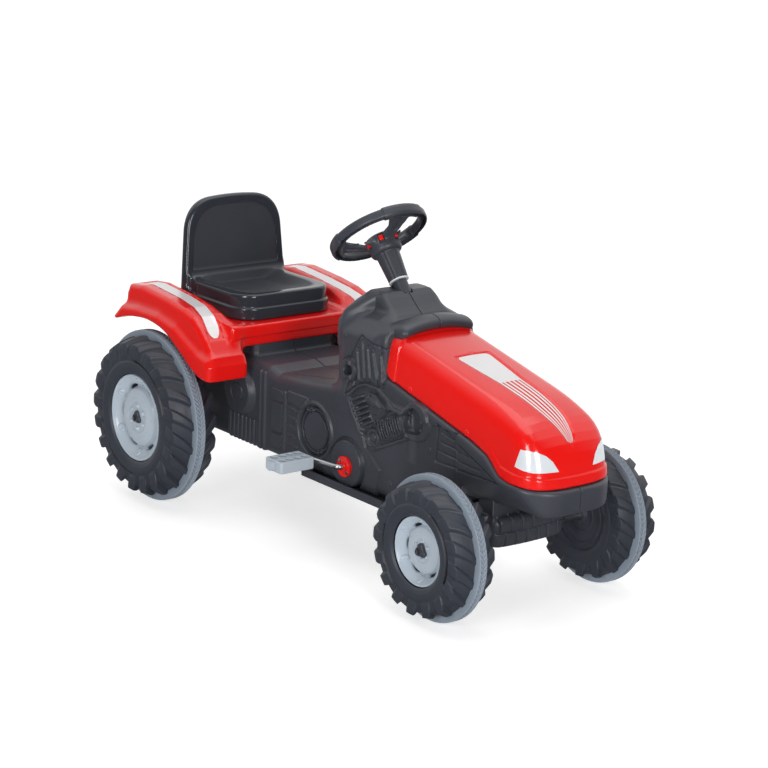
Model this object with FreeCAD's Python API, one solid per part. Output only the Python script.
import FreeCAD, Part
import math
import os

# Pedal tractor for a small child, in millimetres.
# X points forward, Y to the rider's left and Z up.
# The model is drawn with x = 0 over the rear axle and is moved on export,
# so that the origin lies on the floor under the middle of the overall box.

# Stance
wheelbase = 809.0
rear_radius = 166.0
front_radius = 126.0
rear_half_track = 217.0
front_half_track = 181.0
nose_overhang = 159.0

# Fits and small clearances
running_gap = 0.05
seat_gap = 0.05
body_gap = 0.4
face_gap = 0.3
overrun = 2.0
corner_room_share = 0.45

# Wheels
rear_tyre_outer = 50.0
rear_tyre_inner = 50.0
front_tyre_outer = 41.0
front_tyre_inner = 39.0
rear_crown = 18.0
front_crown = 12.0
rear_rim_radius = 85.0
front_rim_radius = 59.0
rear_rim_face = 44.0
front_rim_face = 31.0
tread_steps = 4
sidewall_share = 0.45
shoulder_share = 0.92
hub_face_share = 0.94
web_share = 0.78
lug_width_share = 0.46
lug_toe_share = 0.30
lug_lean_share = 0.62
lug_shares = [0.62, 0.96]
row_offset_share = 0.5
rear_band_width = 20.0
front_band_width = 16.0
band_proud = 4.0
band_groove_share = 0.16
band_edge_share = 0.7
rear_lug_height = 13.0
front_lug_height = 10.0
rear_lug_count = 20
front_lug_count = 16
tyre_wall = 4.0
rim_wall = 3.0
hub_tube_wall = 7.0
spacer_wall = 4.0
rim_bolt_count = 6
rim_profile_shares = [(0.920, 0.000), (0.880, 0.200), (0.800, 0.700), (0.740, 0.660), (0.660, 0.340),
                      (0.500, 0.220), (0.340, 0.260), (0.280, 0.620)]
rim_slot_shares = (0.780, 0.860, 0.480)
rim_bolt_share = 0.050
rim_bolt_ring_share = 0.400
rim_stud_share = 0.075
rim_stud_ring_share = 0.830
rim_depth_share = 0.30
rim_floor_share = 0.62
cap_lobe_count = 3
cap_depth = 15.0
cap_radius = 15.0
cap_wall = 3.8
cap_lobe_depth_share = 0.8
cap_socket_share = 0.6
cap_lobe_share = 0.55

# Axles and bushes
rear_axle_radius = 7.0
stub_radius = 6.0
bush_wall = 4.0
bush_flange = 6.0
bush_flange_depth = 5.0

# Body shells
body_height = 484.0
body_low = 130.0
body_half_width = 112.0
body_wall = 4.0
seat_box_half_width = 92.0
nose_half_width = 106.0
nose_low_half_width = 72.0
nose_corner = 80.0
edge_round = 7.0
corner_round = 12.0
relief_height = 4.0
relief_depth = 2.6
boss_radius = 7.0
screw_radius = 2.2
screw_head_radius = 5.0
screw_head_depth = 3.0
column_boss_radius = 17.0
dash_boss_height = 18.0

# Hood
hood_wall = 3.5
hood_top_half_width = 86.0
hood_crown = 7.0
hood_shoulder = 16.0
hood_seat = 14.0
hood_section_shares = (0.5085, 0.8220)
hood_flare = 4.0

# Seat, deck and fenders
deck_top = 364.0
deck_wall = 4.0
deck_half_width = 140.0
deck_front = 165.0
deck_rear = 108.0
apron_drop = 52.0
fender_inner = 138.0
fender_outer = 224.0
arch_gap = 14.0
fender_wall = 4.0
fender_round = 12.0
fender_fillet_share = 0.8
seat_height = 207.0
seat_half_width = 120.0
seat_front = 142.0
seat_back_face = 29.0
seat_back_thickness = 20.0
seat_tier = 24.0
seat_pan_height = 50.0
seat_wall = 4.0
seat_corner = 56.0
seat_rim = 17.0
seat_panel_depth = 3.0
seat_step = 4.0
seat_pan_share = 0.94
seat_crest_share = 0.93

# Cranks, pedals and chain
crank_x = 478.0
crank_height = 171.0
crank_radius = 70.0
crank_rod = 5.0
crank_bend = 9.0
crank_disc_radius = 19.0
crank_disc_depth = 6.0
rivet_head_radius = 3.6
rivet_head_depth = 1.6
rivet_turn_degrees = 40.0
crank_arm_flare = 10.0
pedal_inner = 152.0
pedal_length = 50.0
pedal_width = 74.0
pedal_depth = 22.0
pedal_wall = 3.0
pedal_cells_long = 4
pedal_cells_wide = 2
pedal_cap_shares = (1.6, 1.7)
chain_plane = 42.0
chain_pitch = 12.7
chainring_teeth = 14
sprocket_teeth = 12
roller_radius = 4.0
chain_inner_width = 7.0
chain_plate = 1.6
chain_plate_height = 9.0
sprocket_thickness = 6.2
sprocket_hub = 14.0
tooth_depth = 4.0

# Front axle and steering
beam_depth = 80.0
beam_low = 112.0
beam_top = 168.0
beam_block_count = 7
beam_row_count = 2
brick_proud_share = 0.6
brick_gap_share = 0.12
beam_post_share = 0.7
kingpin_offset = 100.0
kingpin_boss = 14.0
kingpin_boss_low = 140.0
kingpin_collar_share = 0.8
thrust_share = 1.6
tie_pin_share = 1.8
arm_length = 50.0
arm_thickness = 5.0
arm_half_width = 9.0
tie_pin_radius = 4.0
tie_bar_half_width = 9.0
tie_pad_reach = 12.0
tie_bar_thickness = 5.0
tie_side_play = 0.8
steer_degrees = 20.0
column_radius = 8.0
pitman_length = 29.4
pitman_pin_radius = 4.0
pitman_rise = 19.0
pitman_setback = 64.21
pitman_slot_rear = 9.0
pitman_slot_front = 17.0
column_reach = 116.14
dash_share = 0.58764
steering_radius = 93.6
steering_rim_radius = 8.5
hub_drop = 10.0
hub_length = 36.0
hub_radius = 29.0
sleeve_length = 57.0
sleeve_radius = 16.5
sleeve_low_radius = 14.5
spoke_count = 3
spoke_width = 24.0
spoke_thickness = 8.0
spoke_root_share = 0.7
spoke_shares = (2.4, 1.2)
horn_radius = 19.0
horn_travel = 3.0
horn_skirt = 9.0
horn_crown_shares = (0.75, 0.6)

# Underbody plate and towing tongue
plate_half_width = 126.0
plate_thickness = 6.0
plate_lip = 9.0
plate_neck_half_width = 46.0
hitch_bore = 7.0
hitch_thickness = 10.0
hitch_half_width = 24.0
hitch_reach = 52.0
hitch_height = 168.0
hitch_round_share = 0.8
hitch_foot_share = 1.6

# Outlines as shares of the wheelbase and of the rise from the body's low edge to its top
tub_shares = [(-0.130, 0.0566), (-0.130, 0.4805), (0.290, 0.4805), (0.540, 0.5078), (0.795, 0.5078),
              (0.812, 0.4531), (0.812, 0.2398), (0.742, 0.0000), (-0.105, 0.0000)]
seat_box_shares = [(-0.124, 0.3984), (0.196, 0.3984)]
cowl_shares = [(0.529, 0.3984), (0.525, 0.8496), (0.534, 0.8879), (0.640, 0.8988), (0.694, 0.8578),
               (0.694, 0.3984)]
tower_shares = [(0.529, 0.7266), (0.525, 0.8496), (0.544, 0.9562), (0.560, 1.0000), (0.604, 1.0000),
                (0.618, 0.9385), (0.644, 0.8769), (0.644, 0.7266)]
nose_rear_share = 0.680
nose_plan_share = 0.645
nose_taper_share = 0.3164
nose_low_share = 0.1865
nose_web_share = 0.4873
hood_low_shares = [(0.695, 0.6240), (0.975, 0.4627), (1.030, 0.4203), (1.073, 0.3410), (1.300, 0.3000)]
hood_top_shares = [(0.600, 0.9043), (0.832, 0.7799), (0.940, 0.7225), (1.027, 0.6746), (1.089, 0.6267),
                   (1.125, 0.5844), (1.150, 0.5310), (1.170, 0.4531), (1.185, 0.3779), (1.1965, 0.2890)]
hood_rear_share = 0.695
bulge_shares = [(0.662, 0.8086), (0.662, 0.8701), (0.684, 0.9139), (0.706, 0.9139), (0.722, 0.8797),
                (0.724, 0.8537), (0.693, 0.8537), (0.693, 0.8086)]
bulge_half_width = 84.0

# Front and plan views of the cowl, its tower and the pad, as shares of half width and rise
cowl_front_shares = [(1.000, 0.3984), (1.000, 0.7949), (0.735, 0.8988)]
tower_front_shares = [(0.964, 0.3984), (0.964, 0.8428), (0.930, 0.8934), (0.655, 0.9672), (0.500, 1.0137)]
bulge_front_shares = [(1.000, 0.7266), (1.000, 0.8605), (0.500, 0.9043), (0.200, 0.9180)]

# The same plans along the wheelbase, as shares of the half width
cowl_plan_shares = [(0.520, 0.890), (0.532, 0.925), (0.560, 1.000), (0.650, 1.000), (0.694, 0.955)]
tower_plan_shares = [(0.520, 0.940), (0.545, 0.940), (0.598, 0.545), (0.660, 0.560)]

# Relief on the body side, as shares of the wheelbase and of the same rise
ring_place_shares = (0.466, 0.2453)
ring_outer_share = 0.063
ring_inner_share = 0.044
crank_boss_share = 0.0495
gearbox_shares = [(0.300, 0.0498), (0.300, 0.3916), (0.395, 0.3984), (0.395, 0.2890), (0.412, 0.1797),
                  (0.395, 0.0498)]
gearbox_rib_shares = [0.318, 0.338, 0.358, 0.378]
rib_shares = [0.225, 0.245, 0.265]
rib_span_shares = (0.0429, 0.3984)
housing_place_shares = (0.165, 0.2890)
housing_radius_share = 0.050
vent_shares = [(0.590, 0.5283), (0.600, 0.6719), (0.632, 0.8086), (0.697, 0.7566), (0.697, 0.5898)]
vent_slot_count = 6
cylinder_shares = [((0.588, 0.4531), (0.662, 0.3232)), ((0.760, 0.3574), (0.682, 0.2890))]
cylinder_half_share = 0.030
fin_count = 5
fin_shares = (0.3, 0.75)
cylinder_core_share = 0.7
rib_round_share = 0.8
vent_bar_share = 0.6
port_hole_count = 3
port_turn_share = 0.25
port_ring_share = 0.5
port_hole_share = 0.3
crankcase_place_shares = (0.690, 0.2480)
crankcase_share = 0.036
port_place_shares = (0.812, 0.4326)
port_share = 0.034
louvre_shares = [(0.880, 0.4873), (0.878, 0.3164), (1.070, 0.3328)]
louvre_bar_count = 6
eye_place_shares = (0.575, 0.5898)
eye_share = 0.011
boss_place_shares = [(-0.095, 0.4121), (0.247, 0.4189), (0.735, 0.1045), (0.850, 0.3437), (0.562, 0.7812)]
nose_boss_share = 0.800
seat_screw_shares = [(-0.24, -0.50), (-0.24, 0.50), (0.74, -0.50), (0.74, 0.50)]
hood_screw_shares = [0.770, 0.960]
seat_screw_share = 0.7
plate_span_shares = (0.433, 0.752)

# Fender profile as shares of the wheel arch radius, about the rear axle
fender_shares = [(-0.750, 0.889), (-0.600, 1.290), (-0.389, 1.322), (0.222, 1.280), (0.528, 1.250),
                 (0.711, 1.178), (0.889, 1.022), (1.072, 0.844), (1.061, 0.622), (1.000, 0.590)]
fender_edge_share = 1.0

# Worked-out places
rear_axle_z = rear_radius
front_axle_z = front_radius
overall_length = rear_radius + wheelbase + nose_overhang
export_shift = rear_radius - overall_length / 2
body_rise = body_height - body_low
nose_low = body_low + nose_low_share * body_rise
hood_section_low, hood_section_top = (body_low + share * body_rise for share in hood_section_shares)
hood_slope_share = (hood_top_shares[3][1] - hood_top_shares[1][1]) * body_rise / wheelbase
hood_slope_share = hood_slope_share / (hood_top_shares[3][0] - hood_top_shares[1][0])

# The column leaves the cowl at the dash and ends a little behind the tie rod
dash = FreeCAD.Vector(dash_share * wheelbase, 0, body_height)
pitman_height = nose_low + pitman_rise
tilt = math.atan2(wheelbase - arm_length - pitman_setback - dash.x, body_height - pitman_height)
column_tilt_degrees = math.degrees(tilt)
column_up = FreeCAD.Vector(-math.sin(tilt), 0, math.cos(tilt))
column_forward = FreeCAD.Vector(math.cos(tilt), 0, math.sin(tilt))
wheel_centre = dash + column_up * column_reach
X_AXIS = FreeCAD.Vector(1, 0, 0)
Y_AXIS = FreeCAD.Vector(0, 1, 0)
Z_AXIS = FreeCAD.Vector(0, 0, 1)
ORIGIN = FreeCAD.Vector(0, 0, 0)


def vec(x, y, z):
    return FreeCAD.Vector(x, y, z)


def body_z(share):
    """A height on the body, from its low edge at 0 to its top at 1."""
    return body_low + share * body_rise


def on_side(shares):
    """Body shares as (x, z) places in millimetres."""
    return [(x * wheelbase, body_z(z)) for x, z in shares]


def to_space(point, plane):
    """A flat point put into the XZ, XY or YZ plane."""
    a, b = point
    return {"xz": vec(a, 0, b), "xy": vec(a, b, 0), "yz": vec(0, a, b)}[plane]


def outline(points, radius, plane):
    """A closed wire through the points, with its corners rounded by tangent arcs."""
    corners = [to_space(p, plane) for p in points]
    edges = []
    starts = []
    ends = []
    for i, corner in enumerate(corners):
        back = corners[i - 1] - corner
        ahead = corners[(i + 1) % len(corners)] - corner
        room = min(back.Length, ahead.Length) * corner_room_share
        half = back.getAngle(ahead) / 2
        reach = min(radius / math.tan(half), room) if radius > 0 else 0
        back.normalize()
        ahead.normalize()
        starts.append(corner + back * reach)
        ends.append(corner + ahead * reach)
        if reach > 0:
            middle = back + ahead
            if middle.Length > 1e-6:
                middle.normalize()
                inner = reach * math.tan(half)
                hub = corner + middle * (reach / math.cos(half))
                edges.append(Part.Arc(starts[-1], hub - middle * inner, ends[-1]).toShape())
    lines = []
    for i in range(len(corners)):
        begin = ends[i]
        finish = starts[(i + 1) % len(corners)]
        if (finish - begin).Length > 1e-6:
            lines.append(Part.makeLine(begin, finish))
    return Part.Wire(Part.__sortEdges__(edges + lines))


def prism(points, radius, plane, low, high, inset=0):
    """A rounded outline pushed from low to high along the axis it faces."""
    wire = outline(points, radius, plane)
    face = Part.Face(wire)
    if inset:
        face = Part.Face(wire.makeOffset2D(-inset))
    axis = {"xz": Y_AXIS, "xy": Z_AXIS, "yz": X_AXIS}[plane]
    face.translate(axis * low)
    return face.extrude(axis * (high - low))


def rod(radius, start, axis, length):
    return Part.makeCylinder(radius, length, start, axis)


def tube(outer, inner, start, axis, length):
    return rod(outer, start, axis, length).cut(rod(inner, start, axis, length))


def block(x0, x1, y0, y1, z0, z1):
    return Part.makeBox(x1 - x0, y1 - y0, z1 - z0, vec(x0, y0, z0))


def mirrored(shape):
    return shape.mirror(ORIGIN, Y_AXIS)


def fused(shapes):
    first = shapes[0]
    return first.multiFuse(shapes[1:]).removeSplitter()


def turned(points):
    """A body of revolution about the Y axis from (radius, y) points."""
    wire = Part.makePolygon([vec(r, y, 0) for r, y in points] + [vec(points[0][0], points[0][1], 0)])
    return Part.Face(wire).revolve(ORIGIN, Y_AXIS, 360)


def export(name, shape):
    shape = shape.copy()
    shape.translate(X_AXIS * export_shift)
    shape.exportStep("parts/" + name + ".step")
    print(name, len(shape.Solids), round(shape.Volume), shape.isValid())


# Wheels, drawn about the origin with the outer face towards +Y


def crowned(radius, drop, edge, y):
    """Radius of the rounded tread at one place across its width."""
    return radius - drop * (y / edge) ** 2


def tread_line(radius, drop, inner, outer, span_share):
    """Points of a rounded tread from its inner to its outer shoulder."""
    line = []
    for i in range(-tread_steps, tread_steps + 1):
        edge = outer if i > 0 else inner
        y = edge * span_share * i / tread_steps
        line.append((crowned(radius, drop, edge, y), y))
    return line


def tyre(radius, outer, inner, crown, rim_radius, rim_face, band_width, lug_height, lug_count, bore):
    """Hollow moulded tyre and wheel in one, with a row of slanted lugs each side of the band."""
    tip = radius - band_proud
    carcass = tip - lug_height
    rim_seat = rim_radius + face_gap
    dish = rim_face - rim_radius * rim_depth_share
    hub = bore + hub_tube_wall
    bead = rim_seat + tyre_wall
    side = bead + (carcass - crown - bead) * sidewall_share
    skin = [(bore, -inner * hub_face_share), (hub + tyre_wall, -inner * hub_face_share),
            (hub + tyre_wall * 2, -inner * web_share), (rim_radius - tyre_wall * 2, -inner * web_share),
            (bead, -inner * shoulder_share), (side, -inner)]
    skin += tread_line(carcass, crown, inner, outer, shoulder_share)
    skin += [(side, outer), (bead, outer * shoulder_share), (rim_seat, rim_face), (rim_seat, dish),
             (bore, dish)]
    web = tyre_wall - inner * web_share
    hollow = [(hub, web), (rim_radius - tyre_wall * 2, web), (bead, tyre_wall - inner * shoulder_share),
              (side, tyre_wall - inner)]
    hollow += tread_line(carcass - tyre_wall, crown, inner, outer, shoulder_share - tyre_wall / outer)
    hollow += [(side, outer - tyre_wall), (bead + tyre_wall, dish), (bead, dish - tyre_wall),
               (hub, dish - tyre_wall)]
    envelope = turned([(bead, -inner)] + tread_line(tip, crown, inner, outer, 1) + [(bead, outer)])
    bulk = turned(skin).multiFuse(lugs(tip, carcass, crown, outer, inner, band_width, lug_count, envelope))
    bulk = bulk.cut(rod(bore, Y_AXIS * -radius, Y_AXIS, radius * 2))
    return bulk.cut(turned(hollow))


def lugs(tip, carcass, crown, outer, inner, band_width, lug_count, envelope):
    """Both rows of tread lugs, leaning back from the band and trimmed to the rounded tread."""
    pieces = []
    step = 2 * math.pi * tip / lug_count
    thick = step * lug_width_share
    lean = step * lug_lean_share
    foot = carcass - crown - tyre_wall / 2
    start = band_width / 2 + face_gap
    for side, edge in ((1, outer), (-1, inner)):
        points = [(-thick * lug_toe_share, start), (thick * lug_toe_share, start)]
        points += [(thick / 2 + lean * share, edge * share) for share in lug_shares]
        points += [(-thick / 2 + lean * share, edge * share) for share in reversed(lug_shares)]
        points = [(t - lean / 2, side * y) for t, y in points]
        lug = prism(points, 0, "xy", foot, tip).common(envelope)
        for i in range(lug_count):
            copy = lug.copy()
            copy.rotate(ORIGIN, Y_AXIS, 360.0 * (i + (0 if side > 0 else row_offset_share)) / lug_count)
            pieces.append(copy)
    return pieces


def band(radius, band_width, lug_height):
    """Grip band round the middle of the tread, with a groove round its middle."""
    seat = radius - band_proud - lug_height + seat_gap
    half = band_width / 2
    groove = half * band_groove_share
    edge = half * band_edge_share
    return turned([(seat, -half), (radius - groove, -half), (radius, -edge), (radius, -groove),
                   (radius - groove, 0), (radius, groove), (radius, edge), (radius - groove, half),
                   (seat, half)])


def rim(rim_face, rim_radius, bore):
    """Dished wheel trim: rolled lip, sloping flange with slots, round bosses and a domed middle."""
    depth = rim_radius * rim_depth_share
    back = rim_face - depth
    floor = rim_face - depth * rim_floor_share
    lip = rim_radius - rim_wall
    profile = [(bore, back), (rim_radius, back), (rim_radius, rim_face - rim_wall), (lip, rim_face)]
    profile += [(rim_radius * r, rim_face - depth * d) for r, d in rim_profile_shares]
    shape = turned(profile + [(bore, floor)])
    slot_half = rim_radius * rim_slot_shares[2] / 2
    slot = Part.makeBox(rim_radius * (rim_slot_shares[1] - rim_slot_shares[0]), depth, slot_half * 2,
                        vec(rim_radius * rim_slot_shares[0], back + rim_wall, -slot_half))
    bolt = rod(rim_radius * rim_bolt_share, vec(rim_radius * rim_bolt_ring_share, back + rim_wall, 0), Y_AXIS,
               floor - back)
    stud = rod(rim_radius * rim_stud_share, vec(rim_radius * rim_stud_ring_share, back + rim_wall, 0), Y_AXIS,
               floor - back)
    added = []
    taken = []
    for i in range(rim_bolt_count):
        turn = 360.0 / rim_bolt_count
        for piece, group, place in ((bolt, added, i), (stud, added, i), (slot, taken, i + row_offset_share)):
            copy = piece.copy()
            copy.rotate(ORIGIN, Y_AXIS, turn * place)
            group.append(copy)
    return shape.multiFuse(added).cut(Part.makeCompound(taken))


def cap(rim_face, rim_radius, bore):
    """Three-lobed push-on cap that holds the wheel on its axle end."""
    low = cap_seat(rim_face, rim_radius) - cap_depth * cap_socket_share
    lobes = []
    for i in range(cap_lobe_count):
        turn = 2 * math.pi * i / cap_lobe_count
        reach = cap_radius * cap_lobe_share
        centre = vec(math.cos(turn) * reach, low, math.sin(turn) * reach)
        lobes.append(rod(cap_radius - reach, centre, Y_AXIS, cap_depth * cap_lobe_depth_share))
    core = rod(bore + cap_wall, vec(0, low, 0), Y_AXIS, cap_depth)
    socket = rod(bore, vec(0, low - overrun, 0), Y_AXIS, cap_depth * cap_socket_share + overrun)
    return fused([core] + lobes).cut(socket)


def cap_seat(rim_face, rim_radius):
    """How far the axle reaches into the cap, from the wheel's middle plane."""
    floor = rim_face - rim_radius * rim_depth_share * rim_floor_share
    return floor + body_gap + cap_depth * cap_socket_share


def placed_wheel(shape, x, half_track, z, side):
    shape = shape.copy()
    if side < 0:
        shape = mirrored(shape)
    shape.translate(vec(x, side * half_track, z))
    return shape


def wheels():
    rear_band = band(rear_radius, rear_band_width, rear_lug_height)
    front_band = band(front_radius, front_band_width, front_lug_height)
    front_bore = stub_radius + running_gap
    for side, name in ((1, "left"), (-1, "right")):
        rear_bore = rear_axle_radius + (seat_gap if side < 0 else running_gap)
        rear = {
            "tyre": tyre(rear_radius, rear_tyre_outer, rear_tyre_inner, rear_crown, rear_rim_radius,
                         rear_rim_face, rear_band_width, rear_lug_height, rear_lug_count, rear_bore),
            "band": rear_band,
            "rim": rim(rear_rim_face, rear_rim_radius, rear_bore),
            "cap": cap(rear_rim_face, rear_rim_radius, rear_axle_radius + seat_gap),
        }
        front = {
            "tyre": tyre(front_radius, front_tyre_outer, front_tyre_inner, front_crown, front_rim_radius,
                         front_rim_face, front_band_width, front_lug_height, front_lug_count, front_bore),
            "band": front_band,
            "rim": rim(front_rim_face, front_rim_radius, front_bore),
            "cap": cap(front_rim_face, front_rim_radius, stub_radius + seat_gap),
        }
        for kind in rear:
            export("rear_" + name + "_" + kind,
                   placed_wheel(rear[kind], 0, rear_half_track, rear_axle_z, side))
            export("front_" + name + "_" + kind,
                   placed_wheel(front[kind], wheelbase, front_half_track, front_axle_z, side))


# Body shells, drawn for the right side and mirrored


def side_prism(shares, radius, half_width, inset):
    """Half of a body volume: from its side wall to just past the middle plane."""
    low = -half_width + inset
    high = overrun if inset else 0
    return prism(on_side(shares), radius, "xz", low, high, inset)


def seat_box(inset):
    (x0, z0), (x1, z1) = on_side(seat_box_shares)
    top = deck_top - deck_wall
    points = [(x0, z0), (x1, z0), (x1, top), (x0, top)]
    return prism(points, 0, "xz", -seat_box_half_width + inset, overrun if inset else 0, inset)


def front_view(shares, half_width, inset):
    """A volume as wide as the front-view shares allow, along the whole body."""
    right = [(-half_width * y, body_z(z)) for y, z in shares]
    left = [(-y, z) for y, z in reversed(right)]
    return prism(right + left, 0, "yz", -wheelbase, wheelbase * 2, inset)


def plan_view(shares, half_width, inset):
    """A volume as wide as the plan shares allow, over the whole height."""
    right = [(x * wheelbase, -half_width * y) for x, y in shares]
    left = [(x, -y) for x, y in reversed(right)]
    return prism(right + left, 0, "xy", 0, body_height * 2, inset)


def cowl(inset):
    """Cowl behind the hood, with the narrower tower that carries the steering column."""
    wide = body_half_width
    base = side_prism(cowl_shares, corner_round, wide, inset)
    base = base.common(front_view(cowl_front_shares, wide, inset))
    base = base.common(plan_view(cowl_plan_shares, wide, inset))
    tower = side_prism(tower_shares, corner_round, wide, inset)
    tower = tower.common(front_view(tower_front_shares, wide, inset))
    return base.fuse(tower.common(plan_view(tower_plan_shares, wide, inset)))


def nose_plan(inset):
    """Plan of hood and nose: straight sides and well rounded front corners."""
    front = wheelbase + nose_overhang
    rear = nose_plan_share * wheelbase
    wide = nose_half_width
    points = [(rear, -wide), (front, -wide), (front, wide), (rear, wide)]
    return prism(points, nose_corner, "xy", 0, body_height, inset)


def hood_section(inset):
    """The hood's crowned cross section pushed forward and down along its slope."""
    wide = nose_half_width + hood_flare
    top = hood_section_top
    points = [(-wide, 0), (-wide, hood_section_low), (-hood_top_half_width, top), (0, top + hood_crown),
              (hood_top_half_width, top), (wide, hood_section_low), (wide, 0)]
    wire = outline(points, hood_shoulder, "yz")
    face = Part.Face(wire.makeOffset2D(-inset) if inset else wire)
    face.translate(X_AXIS * (hood_rear_share * wheelbase))
    return face.extrude(vec(wheelbase, 0, hood_slope_share * wheelbase))


def nose(inset):
    """Black lower nose under the hood, drawn in towards its bottom edge."""
    low = nose_low
    knee = body_z(nose_taper_share)
    hood_low = on_side(hood_low_shares)
    front = wheelbase + nose_overhang
    points = [(nose_rear_share * wheelbase, low), (front + overrun, low)]
    points += [(x, z - body_gap) for x, z in reversed(hood_low)]
    outer = prism(points, 0, "xz", -nose_half_width + inset, overrun if inset else 0)
    high = body_height
    section = [(-nose_low_half_width, low), (-nose_half_width, knee), (-nose_half_width, high),
               (nose_half_width, high), (nose_half_width, knee), (nose_low_half_width, low)]
    keep = prism(section, 0, "yz", 0, wheelbase * 2, inset)
    shape = outer.common(keep).common(nose_plan(inset))
    lift = hood_seat
    seat = hood_wall + body_gap
    lip_points = [(x, z - edge_round) for x, z in hood_low] + [(x, z + lift) for x, z in reversed(hood_low)]
    lip = prism(lip_points, 0, "xz", -nose_half_width + seat + inset, overrun if inset else 0)
    return shape.fuse(lip.common(hood_envelope(seat + inset)).common(keep))


def bulge(inset):
    """Rounded pad across the rear of the hood, higher in its middle."""
    bar_shape = side_prism(bulge_shares, corner_round, bulge_half_width, inset)
    return bar_shape.common(front_view(bulge_front_shares, bulge_half_width, inset))


def side_pad(points, radius, half_width):
    """A raised patch of relief on the right side wall."""
    return prism(points, radius, "xz", -half_width - relief_height, -half_width + body_wall / 2)


def side_groove(points, radius, half_width):
    """A sunk patch of relief on the right side wall."""
    return prism(points, radius, "xz", -half_width - relief_height - overrun, -half_width + relief_depth)


def side_disc(place_shares, radius, half_width, height):
    x, z = on_side([place_shares])[0]
    return rod(radius, vec(x, -half_width - height, z), Y_AXIS, height + body_wall / 2)


def bar(start, finish, half_width):
    """A slanted four-cornered bar outline from one place to another."""
    along = vec(finish[0] - start[0], 0, finish[1] - start[1])
    along.normalize()
    across = vec(-along.z, 0, along.x) * half_width
    return [(start[0] + across.x, start[1] + across.z), (finish[0] + across.x, finish[1] + across.z),
            (finish[0] - across.x, finish[1] - across.z), (start[0] - across.x, start[1] - across.z)]


def between(start, finish, share):
    return tuple(a + (b - a) * share for a, b in zip(start, finish))


def ring_relief():
    """Big ring and crank boss on the right side: what is added and what is cut."""
    wide = body_half_width
    ring_radius = ring_outer_share * wheelbase
    ring_x, ring_z = on_side([ring_place_shares])[0]
    raised = [side_disc(ring_place_shares, ring_radius, wide, relief_height)]
    raised.append(rod(crank_boss_share * wheelbase, vec(crank_x, -wide - relief_height, crank_height), Y_AXIS,
                      relief_height + body_wall / 2))
    groove = tube(ring_radius - relief_height, ring_inner_share * wheelbase,
                  vec(ring_x, -wide - relief_height, ring_z), Y_AXIS, relief_height + relief_depth)
    return raised, [groove]


def gearbox_relief():
    """Gearbox cover with sunk ribs, upright ribs behind it and the axle housing."""
    wide = body_half_width
    raised = [side_pad(on_side(gearbox_shares), edge_round, wide)]
    sunk = []
    low, high = body_z(gearbox_shares[0][1]), body_z(gearbox_shares[1][1])
    for share in gearbox_rib_shares:
        x = share * wheelbase
        points = bar((x, low + corner_round), (x, high - corner_round), relief_height)
        sunk.append(side_groove(points, relief_height * rib_round_share, wide))
    low, high = (body_z(share) for share in rib_span_shares)
    for share in rib_shares:
        x = share * wheelbase
        points = bar((x, low), (x, high), relief_height)
        raised.append(side_pad(points, relief_height * rib_round_share, wide))
    raised.append(side_disc(housing_place_shares, housing_radius_share * wheelbase, wide, relief_height * 2))
    return raised, sunk


def vent_relief():
    """Five-cornered vent: its sunk panel and the upright bars that stand in it."""
    wide = body_half_width
    vent = on_side(vent_shares)
    panel = side_groove(vent, corner_round, wide)
    bars = []
    for i in range(vent_slot_count):
        x = vent[0][0] + (vent[-1][0] - vent[0][0]) * (i + 1) / (vent_slot_count + 1)
        strip = bar((x, 0), (x, body_height), relief_height * vent_bar_share)
        bars.append(prism(strip, 0, "xz", -wide, -wide + relief_depth + body_wall / 2))
    inside = prism(vent, corner_round, "xz", -wide, 0, edge_round)
    return panel, [piece.common(inside) for piece in bars]


def engine_relief():
    """Two finned cylinders on a crankcase, and a small eye above them."""
    wide = body_half_width
    raised = []
    half = cylinder_half_share * wheelbase
    for start, finish in (on_side(pair) for pair in cylinder_shares):
        raised.append(side_pad(bar(start, finish, half * cylinder_core_share), edge_round, wide))
        for i in range(fin_count):
            place = between(start, finish, (i + fin_shares[0]) / fin_count)
            ahead = between(start, finish, (i + fin_shares[1]) / fin_count)
            fin = bar(place, ahead, half)
            raised.append(prism(fin, 0, "xz", -wide - relief_height * 2, -wide + body_wall / 2))
    raised.append(side_disc(crankcase_place_shares, crankcase_share * wheelbase, wide, relief_height))
    raised.append(side_disc(eye_place_shares, eye_share * wheelbase, wide, relief_height))
    return raised


def port_relief():
    """Round port ahead of the engine, with three small holes."""
    wide = body_half_width
    x, z = on_side([port_place_shares])[0]
    radius = port_share * wheelbase
    depth = wide - nose_half_width + relief_height + body_wall
    disc = rod(radius, vec(x, -wide - relief_height, z), Y_AXIS, depth)
    holes = []
    for i in range(port_hole_count):
        turn = 2 * math.pi * (i + port_turn_share) / port_hole_count
        reach = radius * port_ring_share
        place = vec(x + math.cos(turn) * reach, -wide - relief_height, z + math.sin(turn) * reach)
        holes.append(rod(radius * port_hole_share, place, Y_AXIS, relief_height + relief_depth))
    return [disc], holes


def louvre_relief():
    """Three-cornered louvre on the nose: its sunk panel and the bars that stand in it."""
    side = nose_half_width
    louvre = on_side(louvre_shares)
    panel = side_groove(louvre, edge_round, side)
    low = min(z for x, z in louvre)
    high = max(z for x, z in louvre)
    bars = []
    for i in range(louvre_bar_count):
        z = low + (high - low) * (i + 1) / (louvre_bar_count + 1)
        strip = bar((0, z), (wheelbase * 2, z), relief_height / 2)
        bars.append(prism(strip, 0, "xz", -side, -side + relief_depth + body_wall / 2))
    inside = prism(louvre, edge_round, "xz", -side, 0, edge_round)
    return panel, [piece.common(inside) for piece in bars]


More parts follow.
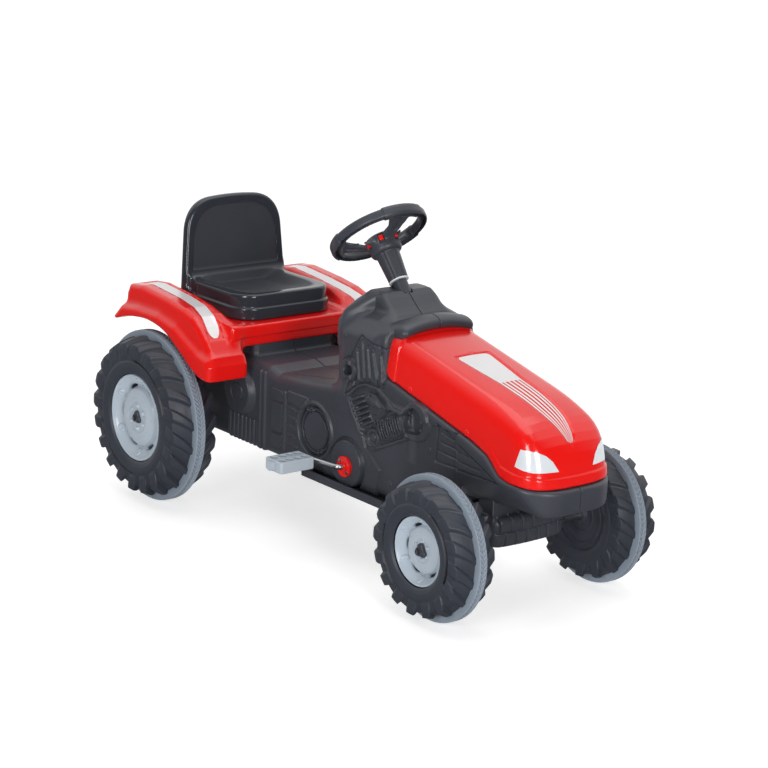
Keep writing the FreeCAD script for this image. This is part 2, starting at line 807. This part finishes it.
def relieved(shell):
    """The right shell with the details of its side: panels first, then raised and sunk ones."""
    vent_panel, vent_bars = vent_relief()
    louvre_panel, louvre_bars = louvre_relief()
    shell = shell.cut(Part.makeCompound([vent_panel, louvre_panel]))
    raised = vent_bars + louvre_bars + engine_relief()
    sunk = []
    for more_raised, more_sunk in (ring_relief(), gearbox_relief(), port_relief()):
        raised += more_raised
        sunk += more_sunk
    shell = shell.multiFuse(raised)
    for cutter in sunk:
        shell = shell.cut(cutter)
    return shell


def column_point(z):
    """The point of the steering column's axis at one height."""
    return wheel_centre - column_up * ((wheel_centre.z - z) / column_up.z)


def column_web():
    """Cross web inside the body with a boss that guides the column's lower end."""
    low = nose_low + hood_seat
    high = body_z(nose_web_share)
    centre = column_point((low + high) / 2)
    web = block(centre.x - body_wall, centre.x + body_wall, -nose_half_width, 0, low, high).common(nose(0))
    boss = rod(column_boss_radius, centre - column_up * hood_seat, column_up, hood_seat * 2)
    half = block(centre.x - wheelbase, centre.x + wheelbase, -column_boss_radius * 2, 0, 0, body_height)
    bore = rod(column_radius + running_gap, column_point(0), column_up, body_height)
    return web.fuse(boss.common(half)).cut(bore)


def column_window(shell):
    """The shell with the bush seat of the column and the opening for its crank arm."""
    bush_bore = column_radius + running_gap + bush_wall + seat_gap
    end = column_point(pitman_height)
    window = block(end.x - arm_length, end.x + arm_length, -arm_length, 0, 0,
                   nose_low + hood_seat)
    return shell.cut(rod(bush_bore, column_point(0), column_up, body_height * 2)).cut(window)


def side_holes():
    """Every hole through the right side wall and the box under the seat."""
    reach = body_half_width * 2
    pin = screw_radius + seat_gap
    places = [(pin, x, z) for x, z in on_side(boss_place_shares) + disc_rivet_places() + hood_screw_places()]
    places.append((rear_axle_radius + running_gap + bush_wall + seat_gap, 0, rear_axle_z))
    places.append((crank_rod + body_gap, crank_x, crank_height))
    holes = [rod(radius, vec(x, -reach, z), Y_AXIS, reach) for radius, x, z in places]
    holes += [rod(pin, vec(x, y, 0), Z_AXIS, body_height) for x, y in seat_screw_places()]
    return Part.makeCompound(holes)


def right_shell():
    wall = body_wall
    tub = side_prism(tub_shares, corner_round, body_half_width, 0)
    tub_hollow = side_prism(tub_shares, corner_round, body_half_width, wall)
    outer = fused([tub, seat_box(0), cowl(0), nose(0), bulge(0)])
    hollow = tub_hollow.multiFuse([seat_box(wall), cowl(wall), nose(wall), bulge(wall)])
    shell = relieved(outer.cut(hollow))
    dash_boss = rod(column_boss_radius, dash - column_up * hood_seat, column_up, dash_boss_height)
    half = block(-wheelbase, wheelbase * 2, -body_half_width * 2, 0, 0, body_height * 2)
    shell = column_window(shell.fuse(dash_boss.common(half))).fuse(column_web())
    bosses = []
    for x, z in on_side(boss_place_shares):
        side = boss_wall(x) + wall / 2
        bosses.append(rod(boss_radius, vec(x, side, z), Y_AXIS, -side))
    return shell.multiFuse(bosses).cut(side_holes())


def boss_wall(x):
    """The outer face of the side wall where a body screw goes in."""
    return -body_half_width if x < nose_boss_share * wheelbase else -nose_half_width


def seat_screw_places():
    return [(x * seat_front, y * seat_half_width) for x, y in seat_screw_shares]


def disc_rivet_places():
    """Two rivets on a slant across each crank disc."""
    reach = (crank_disc_radius + crank_rod + bush_wall) / 2
    turn = math.radians(rivet_turn_degrees)
    across = reach * math.cos(turn)
    up = reach * math.sin(turn)
    return [(crank_x - across, crank_height + up), (crank_x + across, crank_height - up)]


def hood_screw_places():
    """Screws that hold the hood's side to the lip of the nose."""
    (x0, z0), (x1, z1) = on_side(hood_low_shares)[:2]
    places = []
    for share in hood_screw_shares:
        x = share * wheelbase
        places.append((x, z0 + (z1 - z0) * (x - x0) / (x1 - x0) + hood_seat / 2))
    return places


def screw(head_at, axis, length, head_radius, head_depth):
    """A pan-head screw whose head rests at one point and whose shank runs along the axis."""
    head = rod(head_radius, head_at - axis * head_depth, axis, head_depth)
    return head.fuse(rod(screw_radius, head_at, axis, length))


def screws():
    pan = (screw_head_radius, screw_head_depth)
    through = []
    for x, z in on_side(boss_place_shares):
        wall = boss_wall(x)
        through.append(screw(vec(x, wall, z), Y_AXIS, boss_radius * 3 - wall, *pan))
    export("body_screws", Part.makeCompound(through))
    under = deck_top - deck_wall - body_wall
    length = seat_pan_height * seat_screw_share
    up = [screw(vec(x, y, under), Z_AXIS, length, *pan) for x, y in seat_screw_places()]
    export("seat_screws", Part.makeCompound(up))
    inward = []
    for x, z in hood_screw_places():
        face = hood_side(x - screw_head_radius, z - screw_head_radius) + body_gap
        inward.append(screw(vec(x, -face, z), Y_AXIS, hood_seat, *pan))
        inward.append(screw(vec(x, face, z), -Y_AXIS, hood_seat, *pan))
    export("hood_screws", Part.makeCompound(inward))
    rivets = []
    face = body_half_width + relief_height + crank_disc_depth
    head = (rivet_head_radius, rivet_head_depth)
    for x, z in disc_rivet_places():
        for side in (1, -1):
            rivets.append(screw(vec(x, side * face, z), Y_AXIS * -side, crank_disc_depth + hood_seat, *head))
    export("crank_disc_rivets", Part.makeCompound(rivets))


def hood_side(x, z):
    """Half width of the hood's side wall at one place."""
    drop = hood_slope_share * (x - hood_rear_share * wheelbase)
    wide = nose_half_width + hood_flare
    share = (z - drop - hood_section_low) / (hood_section_top - hood_section_low)
    return min(wide + (hood_top_half_width - wide) * max(share, 0), nose_half_width)


def body():
    shell = right_shell()
    export("body_shell_right", shell)
    export("body_shell_left", mirrored(shell))


# Hood, seat, deck and fenders


def hood_envelope(inset):
    """Everything under the hood's top line, as wide as its section and plan allow."""
    top = [vec(x - inset, 0, z - inset) for x, z in on_side(hood_top_shares)]
    curve = Part.BSplineCurve()
    curve.interpolate(top)
    front = vec(top[-1].x, 0, nose_low)
    rear = vec(top[0].x, 0, nose_low)
    sides = [Part.makeLine(top[-1], front), Part.makeLine(front, rear), Part.makeLine(rear, top[0])]
    face = Part.Face(Part.Wire([curve.toShape()] + sides))
    wide = nose_half_width + hood_flare
    face.translate(Y_AXIS * -wide)
    return face.extrude(Y_AXIS * (wide * 2)).common(nose_plan(inset)).common(hood_section(inset))


def hood():
    shape = hood_envelope(0).cut(hood_envelope(hood_wall))
    low_edge = on_side(hood_low_shares)
    rear = hood_rear_share * wheelbase
    below = [(rear - wheelbase, low_edge[0][1])] + low_edge + [(low_edge[-1][0], 0), (rear - wheelbase, 0)]
    wide = nose_half_width * 2
    shape = shape.cut(prism(below, 0, "xz", -wide, wide))
    shape = shape.cut(block(0, rear, -wide, wide, 0, body_height))
    holes = [rod(screw_radius + seat_gap, vec(x, -wide, z), Y_AXIS, wide * 2) for x, z in hood_screw_places()]
    export("hood", shape.cut(Part.makeCompound(holes)))


def fender(inset):
    """One right-hand fender block in profile, before the wheel arch is taken out."""
    arch = rear_radius + arch_gap
    points = [(x * arch, rear_axle_z + z * arch) for x, z in fender_shares]
    return prism(points, fender_round, "xz", -fender_outer + inset, -fender_inner - inset, inset)


def fender_deck():
    arch = rear_radius + arch_gap
    outer = fender(0)
    edges = [e for e in outer.Edges if abs(e.BoundBox.YMax + fender_outer) < face_gap
             and e.BoundBox.ZMax > rear_axle_z + arch * fender_edge_share]
    outer = outer.makeFillet(fender_round * fender_fillet_share, edges)
    well = rod(arch, vec(0, -fender_outer * 2, rear_axle_z), Y_AXIS, fender_outer * 2)
    guard = outer.cut(fender(fender_wall)).cut(well)
    low = deck_top - deck_wall
    wide = deck_half_width
    deck = block(-deck_rear, deck_front, -wide, wide, low, deck_top)
    apron = block(deck_front - deck_wall, deck_front, -wide, wide, deck_top - apron_drop, deck_top)
    tail = block(-deck_rear, -deck_rear + deck_wall, -wide, wide, deck_top - apron_drop, deck_top)
    shape = deck.multiFuse([apron, tail, guard, mirrored(guard)])
    holes = [rod(screw_radius + seat_gap, vec(x, y, 0), Z_AXIS, body_height) for x, y in seat_screw_places()]
    export("fender_deck", shape.cut(Part.makeCompound(holes)))


def seat_slab(inset, low, high, rear, margin):
    """A rounded slab of the seat pan, from its rear line to its front edge."""
    wide = seat_half_width * seat_pan_share - inset
    front = seat_front - inset
    points = [(rear, -wide), (front, -wide), (front, wide), (rear, wide)]
    return prism(points, corner_round * 2, "xy", low, high, margin)


def seat():
    """Moulded seat: a hollow pan in two tiers with an upright back, both with raised rims."""
    rear = -seat_back_face * 2
    half = seat_back_thickness / 2
    tier = seat_step
    top = deck_top + seat_pan_height
    floor = top - seat_panel_depth
    lower = seat_slab(0, deck_top, deck_top + seat_tier, rear, 0)
    upper = seat_slab(tier, deck_top, top, rear, 0)
    crest = deck_top + seat_height
    narrow = seat_half_width * seat_crest_share
    foot = top - seat_tier
    corners = [(-seat_half_width, foot), (-narrow, crest), (narrow, crest), (seat_half_width, foot)]
    back = prism(corners, seat_corner, "yz", rear - half, rear + half)
    panel = prism(corners, seat_corner, "yz", rear + half - seat_panel_depth, rear + half * 2, seat_rim)
    dish = seat_slab(tier, floor, top + overrun, rear + seat_rim, seat_rim)
    hollow = seat_slab(tier, deck_top - overrun, floor - seat_wall, rear, seat_wall)
    shape = fused([lower, upper, back]).cut(panel).cut(dish).cut(hollow)
    places = seat_screw_places()
    post_height = floor - seat_wall / 2 - deck_top
    posts = [rod(boss_radius, vec(x, y, deck_top), Z_AXIS, post_height) for x, y in places]
    shape = shape.multiFuse(posts)
    length = seat_pan_height * seat_screw_share
    holes = [rod(screw_radius + seat_gap, vec(x, y, deck_top - overrun), Z_AXIS, length) for x, y in places]
    export("seat", shape.cut(Part.makeCompound(holes)))


# Drive: axle, cranks, pedals and chain


def pitch_radius(teeth):
    return chain_pitch / (2 * math.sin(math.pi / teeth))


def sprocket(teeth, bore, x, z):
    """Toothed disc with a hub; its teeth stay just inside the chain's rollers."""
    pitch = pitch_radius(teeth)
    tip = pitch - roller_radius - body_gap
    start = chain_plane - sprocket_thickness / 2
    disc = rod(tip, vec(x, start, z), Y_AXIS, sprocket_thickness)
    hub = rod(sprocket_hub, vec(x, start, z), Y_AXIS, sprocket_thickness * 3)
    notches = []
    for i in range(teeth):
        turn = 2 * math.pi * i / teeth
        place = vec(x + math.cos(turn) * pitch, start - overrun, z + math.sin(turn) * pitch)
        notches.append(rod(roller_radius + tooth_depth / 2, place, Y_AXIS, sprocket_thickness + overrun * 2))
    shape = disc.cut(Part.makeCompound(notches)).fuse(hub)
    return shape.cut(rod(bore, vec(x, start - overrun, z), Y_AXIS, sprocket_thickness * 4))


def chain_loop(extra):
    """Closed loop round both sprockets, set off from the pitch line by extra."""
    rear = vec(0, 0, rear_axle_z)
    front = vec(crank_x, 0, crank_height)
    r1 = pitch_radius(sprocket_teeth) + extra
    r2 = pitch_radius(chainring_teeth) + extra
    along = front - rear
    lean = math.acos((r1 - r2) / along.Length)
    base = math.atan2(along.z, along.x)
    along.normalize()
    up = vec(math.cos(base + lean), 0, math.sin(base + lean))
    down = vec(math.cos(base - lean), 0, math.sin(base - lean))
    top = Part.makeLine(rear + up * r1, front + up * r2)
    nose_arc = Part.Arc(front + up * r2, front + along * r2, front + down * r2).toShape()
    bottom = Part.makeLine(front + down * r2, rear + down * r1)
    tail_arc = Part.Arc(rear + down * r1, rear - along * r1, rear + up * r1).toShape()
    return Part.Wire([top, nose_arc, bottom, tail_arc])


def chain():
    """Roller chain as one loop: two rows of side plates and a roller at each pitch."""
    outer = Part.Face(chain_loop(chain_plate_height / 2))
    ring = outer.cut(Part.Face(chain_loop(-chain_plate_height / 2)))
    pieces = []
    for start in (chain_plane - chain_inner_width / 2 - chain_plate, chain_plane + chain_inner_width / 2):
        plate = ring.copy()
        plate.translate(Y_AXIS * start)
        pieces.append(plate.extrude(Y_AXIS * chain_plate))
    line = chain_loop(0)
    count = round(line.Length / chain_pitch)
    for place in line.discretize(count + 1)[:-1]:
        start = chain_plane - chain_inner_width / 2 - chain_plate / 2
        length = chain_inner_width + chain_plate
        pieces.append(rod(roller_radius, vec(place.x, start, place.z), Y_AXIS, length))
    export("chain", pieces[0].multiFuse(pieces[1:]))


def crank_rod_shape():
    """One bent steel rod: pedal pin, arm, axle, arm and pedal pin."""
    elbow = body_half_width + relief_height + crank_disc_depth + overrun + face_gap + crank_bend
    foot = elbow + crank_arm_flare
    end = pedal_inner + pedal_width + overrun * 2
    right = [vec(-crank_radius, -end, 0), vec(-crank_radius, -foot, 0), vec(0, -elbow, 0)]
    left = [vec(-p.x, -p.y, 0) for p in reversed(right)]
    corners = right + left
    edges = []
    last = corners[0]
    for i in range(1, len(corners) - 1):
        back = corners[i - 1] - corners[i]
        ahead = corners[i + 1] - corners[i]
        half = back.getAngle(ahead) / 2
        reach = crank_bend / math.tan(half)
        back.normalize()
        ahead.normalize()
        middle = back + ahead
        middle.normalize()
        start = corners[i] + back * reach
        finish = corners[i] + ahead * reach
        crown = corners[i] + middle * (crank_bend / math.sin(half) - crank_bend)
        edges.append(Part.makeLine(last, start))
        edges.append(Part.Arc(start, crown, finish).toShape())
        last = finish
    edges.append(Part.makeLine(last, corners[-1]))
    profile = Part.Wire(Part.makeCircle(crank_rod, corners[0], Y_AXIS))
    shape = Part.Wire(edges).makePipeShell([profile], True, True)
    shape.translate(vec(crank_x, 0, crank_height))
    return shape


def pedal():
    """Right pedal: a block with a grid of square cells on both treads."""
    low = -pedal_inner - pedal_width
    x0 = crank_x - crank_radius - pedal_length / 2
    z0 = crank_height - pedal_depth / 2
    points = [(x0, low), (x0 + pedal_length, low), (x0 + pedal_length, -pedal_inner), (x0, -pedal_inner)]
    shape = prism(points, pedal_wall, "xy", z0, z0 + pedal_depth)
    cell_x = (pedal_length - pedal_wall) / pedal_cells_wide
    cell_y = (pedal_width - pedal_wall) / pedal_cells_long
    cells = []
    for i in range(pedal_cells_wide):
        for j in range(pedal_cells_long):
            x = x0 + pedal_wall + i * cell_x
            y = low + pedal_wall + j * cell_y
            for z in (z0 - overrun, z0 + pedal_depth - pedal_wall):
                cells.append(block(x, x + cell_x - pedal_wall, y, y + cell_y - pedal_wall, z,
                                   z + pedal_wall + overrun))
    bore = rod(crank_rod + running_gap, vec(crank_x - crank_radius, low - overrun, crank_height), Y_AXIS,
               pedal_width + overrun * 2)
    return shape.cut(Part.makeCompound(cells)).cut(bore)


def other_side(shape):
    """The opposite crank's copy: half a turn about the vertical through the crank axle."""
    copy = shape.copy()
    copy.rotate(vec(crank_x, 0, crank_height), Z_AXIS, 180)
    return copy


def pedal_cap():
    start = -pedal_inner - pedal_width - face_gap
    long, wide = pedal_cap_shares
    place = vec(crank_x - crank_radius, start, crank_height)
    end = pedal_inner + pedal_width + overrun * 2
    socket = rod(crank_rod + seat_gap, place, -Y_AXIS, end + start + seat_gap)
    return rod(crank_rod * wide, place, -Y_AXIS, crank_rod * long).cut(socket)


def crank_disc():
    """Red flange that carries the crank rod in the right side wall."""
    face = body_half_width + relief_height
    place = vec(crank_x, -face - crank_disc_depth, crank_height)
    disc = rod(crank_disc_radius, place, Y_AXIS, crank_disc_depth)
    collar = rod(crank_rod + bush_wall, place - Y_AXIS * overrun, Y_AXIS, crank_disc_depth)
    holes = [rod(crank_rod + running_gap, place - Y_AXIS * (overrun * 2), Y_AXIS, crank_disc_depth * 3)]
    for x, z in disc_rivet_places():
        holes.append(rod(screw_radius + seat_gap, vec(x, place.y - overrun, z), Y_AXIS, crank_disc_depth * 2))
    return disc.fuse(collar).cut(Part.makeCompound(holes))


def rear_bush():
    """Flanged bush of the rear axle in the right side wall."""
    bore = rear_axle_radius + running_gap
    place = vec(0, -body_half_width - bush_flange_depth, rear_axle_z)
    flange = rod(bore + bush_wall + bush_flange, place, Y_AXIS, bush_flange_depth)
    sleeve = rod(bore + bush_wall, place, Y_AXIS, bush_flange_depth + body_wall * 3)
    return flange.fuse(sleeve).cut(rod(bore, place, Y_AXIS, bush_flange_depth + body_wall * 3))


def rear_spacer():
    start = body_half_width + bush_flange_depth + face_gap
    finish = rear_half_track - rear_tyre_inner * hub_face_share - face_gap
    place = vec(0, -finish, rear_axle_z)
    return tube(rear_axle_radius + spacer_wall, rear_axle_radius + seat_gap, place, Y_AXIS, finish - start)


def drive():
    reach = rear_half_track + cap_seat(rear_rim_face, rear_rim_radius) - seat_gap
    export("rear_axle", rod(rear_axle_radius, vec(0, -reach, rear_axle_z), Y_AXIS, reach * 2))
    export("rear_spacers", Part.makeCompound([rear_spacer(), mirrored(rear_spacer())]))
    export("rear_bush_right", rear_bush())
    export("rear_bush_left", mirrored(rear_bush()))
    export("rear_sprocket", sprocket(sprocket_teeth, rear_axle_radius + seat_gap, 0, rear_axle_z))
    export("chainring", sprocket(chainring_teeth, crank_rod + seat_gap, crank_x, crank_height))
    chain()
    export("crank", crank_rod_shape())
    export("pedal_right", pedal())
    export("pedal_left", other_side(pedal()))
    export("pedal_caps", Part.makeCompound([pedal_cap(), other_side(pedal_cap())]))
    export("crank_disc_right", crank_disc())
    export("crank_disc_left", mirrored(crank_disc()))


# Front axle and steering


def axle_beam():
    """Moulded front axle beam with a kingpin boss at each end and posts under the nose."""
    half = beam_depth / 2
    inner = kingpin_offset - kingpin_boss - overrun
    points = [(wheelbase - half, -inner), (wheelbase + half, -inner), (wheelbase + half, inner),
              (wheelbase - half, inner)]
    shape = prism(points, corner_round, "xy", beam_low, beam_top)
    hollow = prism(points, corner_round, "xy", beam_low - overrun, beam_top - body_wall, body_wall)
    step = inner * 2 / beam_block_count
    foot = beam_low + edge_round
    rise = (beam_top - edge_round - foot) / beam_row_count
    joint = step * brick_gap_share
    proud = wheelbase + half + relief_height * brick_proud_share
    bricks = []
    for i in range(beam_block_count):
        for row in range(beam_row_count):
            y = -inner + step * i
            z = foot + rise * row
            bricks.append(block(wheelbase + half - overrun, proud, y + joint, y + step - joint, z + joint,
                                z + rise - joint))
    ears = []
    for side in (1, -1):
        y = side * kingpin_offset
        height = beam_top - kingpin_boss_low
        ears.append(rod(kingpin_boss, vec(wheelbase, y, kingpin_boss_low), Z_AXIS, height))
        ears.append(block(wheelbase - kingpin_boss, wheelbase + kingpin_boss, min(y, side * inner),
                          max(y, side * inner), kingpin_boss_low, beam_top))
        post = side * plate_neck_half_width * beam_post_share
        ears.append(block(wheelbase - kingpin_boss, wheelbase + half - corner_round, post - boss_radius,
                          post + boss_radius, beam_top - body_wall, nose_low))
    shape = shape.cut(hollow).multiFuse(bricks + ears)
    bores = [rod(stub_radius + running_gap, vec(wheelbase, side * kingpin_offset, 0), Z_AXIS, body_height)
             for side in (1, -1)]
    return shape.cut(Part.makeCompound(bores))


def knuckle():
    """Left steering knuckle: kingpin, stub axle and a rearward arm with its pin."""
    y = kingpin_offset
    arm_low = beam_top + face_gap
    foot = vec(wheelbase, y, front_axle_z)
    kingpin = rod(stub_radius, foot, Z_AXIS, arm_low + arm_thickness - front_axle_z)
    collar = rod(kingpin_boss * kingpin_collar_share, foot - Z_AXIS * stub_radius, Z_AXIS,
                 kingpin_boss_low - face_gap - front_axle_z + stub_radius)
    reach = front_half_track + cap_seat(front_rim_face, front_rim_radius) - seat_gap
    stub = rod(stub_radius, foot, Y_AXIS, reach - y)
    shoulder = front_half_track - front_tyre_inner * hub_face_share - face_gap
    thrust = rod(stub_radius * thrust_share, foot, Y_AXIS, shoulder - y)
    arm = block(wheelbase - arm_length, wheelbase, y - arm_half_width, y + arm_half_width, arm_low,
                arm_low + arm_thickness)
    ends = [rod(arm_half_width, vec(x, y, arm_low), Z_AXIS, arm_thickness)
            for x in (wheelbase - arm_length, wheelbase)]
    pin = rod(tie_pin_radius, vec(wheelbase - arm_length, y, arm_low), Z_AXIS,
              arm_thickness + face_gap + tie_bar_thickness * tie_pin_share)
    return fused([kingpin, collar, stub, thrust, arm, pin] + ends)


def tie_rod():
    """Cross bar over both knuckle arms, with a tongue that the column's crank pin moves."""
    low = beam_top + face_gap + arm_thickness + face_gap
    high = low + tie_bar_thickness
    x = wheelbase - arm_length
    pads = []
    slots = []
    lag = arm_length * (1 - math.cos(math.radians(steer_degrees)))
    play = tie_pin_radius + tie_side_play
    for side in (1, -1):
        y = side * kingpin_offset
        pads.append(block(x - tie_pad_reach, x + tie_pad_reach + lag, y - tie_bar_half_width,
                          y + tie_bar_half_width, low, high))
        slots.append(block(x - play, x + play + lag, y - play, y + play, low - overrun, high + overrun))
    half = tie_bar_half_width
    bar_piece = block(x - half, x + half, -kingpin_offset, kingpin_offset, low, high)
    pin = pitman_pin_at((low + high) / 2)
    tongue = block(pin.x - pitman_slot_rear - half, x, -tie_pad_reach, tie_pad_reach, low, high)
    guide = pitman_pin_radius + tie_side_play
    slots.append(block(pin.x - pitman_slot_rear, pin.x + pitman_slot_front, -guide, guide, low - overrun,
                       high + overrun))
    return fused([bar_piece, tongue] + pads).cut(Part.makeCompound(slots))


def pitman_pin_at(z):
    """Where the column's crank pin passes one height, at rest."""
    tip = column_point(pitman_height) - column_forward * pitman_length
    return tip - column_up * ((tip.z - z) / column_up.z)


def on_column(shape):
    """A shape drawn about the steering wheel's centre, set on the sloping column."""
    copy = shape.copy()
    copy.Placement = FreeCAD.Placement(wheel_centre, FreeCAD.Rotation(Y_AXIS, -column_tilt_degrees))
    return copy


def column():
    """Steering column: a straight rod with a crank arm and pin at its lower end."""
    end = (column_point(pitman_height) - wheel_centre).Length
    top = hub_drop + horn_skirt + horn_travel * 3
    shaft = rod(column_radius, vec(0, 0, -end), Z_AXIS, end - top)
    half = column_radius
    arm = block(-pitman_length - half, half, -half, half, -end - arm_thickness, -end + arm_thickness / 2)
    low = beam_top + face_gap + arm_thickness
    drop = (pitman_pin_at(low) - column_point(pitman_height) + column_forward * pitman_length).Length
    pin = rod(pitman_pin_radius, vec(-pitman_length, 0, -end), vec(0, 0, -1), drop + pitman_pin_radius)
    return on_column(fused([shaft, arm, pin]))


def column_bush():
    """Plain bush in the boss where the column leaves the cowl."""
    depth = column_reach + hood_seat
    bore = column_radius + running_gap
    return on_column(tube(bore + bush_wall, bore, vec(0, 0, -depth), Z_AXIS, dash_boss_height))


def steering_wheel():
    """Rim, three spokes, hub and sleeve in one moulding."""
    ring = steering_radius - steering_rim_radius
    rim_shape = Part.makeTorus(ring, steering_rim_radius)
    hub = rod(hub_radius, vec(0, 0, -hub_drop - hub_length), Z_AXIS, hub_length)
    foot = -hub_drop - hub_length
    sleeve_foot = vec(0, 0, foot - sleeve_length)
    sleeve = Part.makeCone(sleeve_low_radius, sleeve_radius, sleeve_length, sleeve_foot, Z_AXIS)
    spokes = []
    thick = spoke_thickness
    for i in range(spoke_count):
        root = hub_radius * spoke_root_share
        deep, shallow = (hub_drop + thick * share for share in spoke_shares)
        side = [(root, -deep), (ring, -thick / 2), (ring, thick / 2), (root, -shallow)]
        spoke = prism(side, 0, "xz", -spoke_width / 2, spoke_width / 2)
        spoke.rotate(ORIGIN, Z_AXIS, 360.0 * i / spoke_count)
        spokes.append(spoke)
    shape = fused([rim_shape, hub, sleeve] + spokes)
    pocket_floor = -hub_drop - horn_skirt - horn_travel * 2
    pocket = rod(horn_radius + face_gap, vec(0, 0, pocket_floor), Z_AXIS, steering_radius)
    bore = rod(column_radius + seat_gap, vec(0, 0, foot - sleeve_length - overrun), Z_AXIS,
               sleeve_length + hub_length + overrun * 2)
    return on_column(shape.cut(pocket).cut(bore))


def horn_button():
    """Push button in the middle of the steering wheel."""
    skirt = rod(horn_radius, vec(0, 0, -hub_drop - horn_skirt), Z_AXIS, horn_skirt)
    narrow, rise = horn_crown_shares
    crown = Part.makeCone(horn_radius, horn_radius * narrow, horn_skirt * rise, vec(0, 0, -hub_drop), Z_AXIS)
    return on_column(skirt.fuse(crown))


def steering():
    export("front_axle_beam", axle_beam())
    export("knuckle_left", knuckle())
    export("knuckle_right", mirrored(knuckle()))
    export("tie_rod", tie_rod())
    export("steering_column", column())
    export("column_bush", column_bush())
    export("steering_wheel", steering_wheel())
    export("horn_button", horn_button())


# Underbody


def underbody_plate():
    """Moulded plate under the body: foot-board rails at the sides and a neck to the axle beam."""
    top = body_low
    low = top - plate_thickness
    rear, front = (share * wheelbase for share in plate_span_shares)
    beam_face = wheelbase - beam_depth / 2
    wide = plate_half_width
    points = [(rear, -wide), (front, -wide), (front, wide), (rear, wide)]
    plate = prism(points, corner_round, "xy", low, top)
    neck = block(front - corner_round, beam_face, -plate_neck_half_width, plate_neck_half_width, low, top)
    flange = block(beam_face - plate_thickness, beam_face, -plate_neck_half_width, plate_neck_half_width, low,
                   beam_top - edge_round)
    lip = block(rear + corner_round, front - corner_round, wide - plate_thickness / 2, wide, low,
                top + plate_lip)
    export("underbody_plate", fused([plate, neck, flange, lip, mirrored(lip)]))


def tow_hitch():
    """Tongue with an upright pin hole, bolted to the body's rear wall."""
    wall = tub_shares[0][0] * wheelbase
    tongue = [(wall - hitch_reach, -hitch_half_width), (wall, -hitch_half_width), (wall, hitch_half_width),
              (wall - hitch_reach, hitch_half_width)]
    plate = prism(tongue, hitch_half_width * hitch_round_share, "xy", hitch_height - hitch_thickness / 2,
                  hitch_height + hitch_thickness / 2)
    foot_half = hitch_half_width * hitch_foot_share
    foot = block(wall - hitch_thickness / 2, wall, -foot_half, foot_half, hitch_height - hitch_half_width,
                 hitch_height + hitch_half_width)
    bore = rod(hitch_bore, vec(wall - hitch_reach + hitch_half_width, 0, 0), Z_AXIS, body_height)
    export("tow_hitch", plate.fuse(foot).cut(bore))


def main():
    os.makedirs("parts", exist_ok=True)
    body()
    screws()
    hood()
    fender_deck()
    seat()
    wheels()
    drive()
    steering()
    underbody_plate()
    tow_hitch()


main()
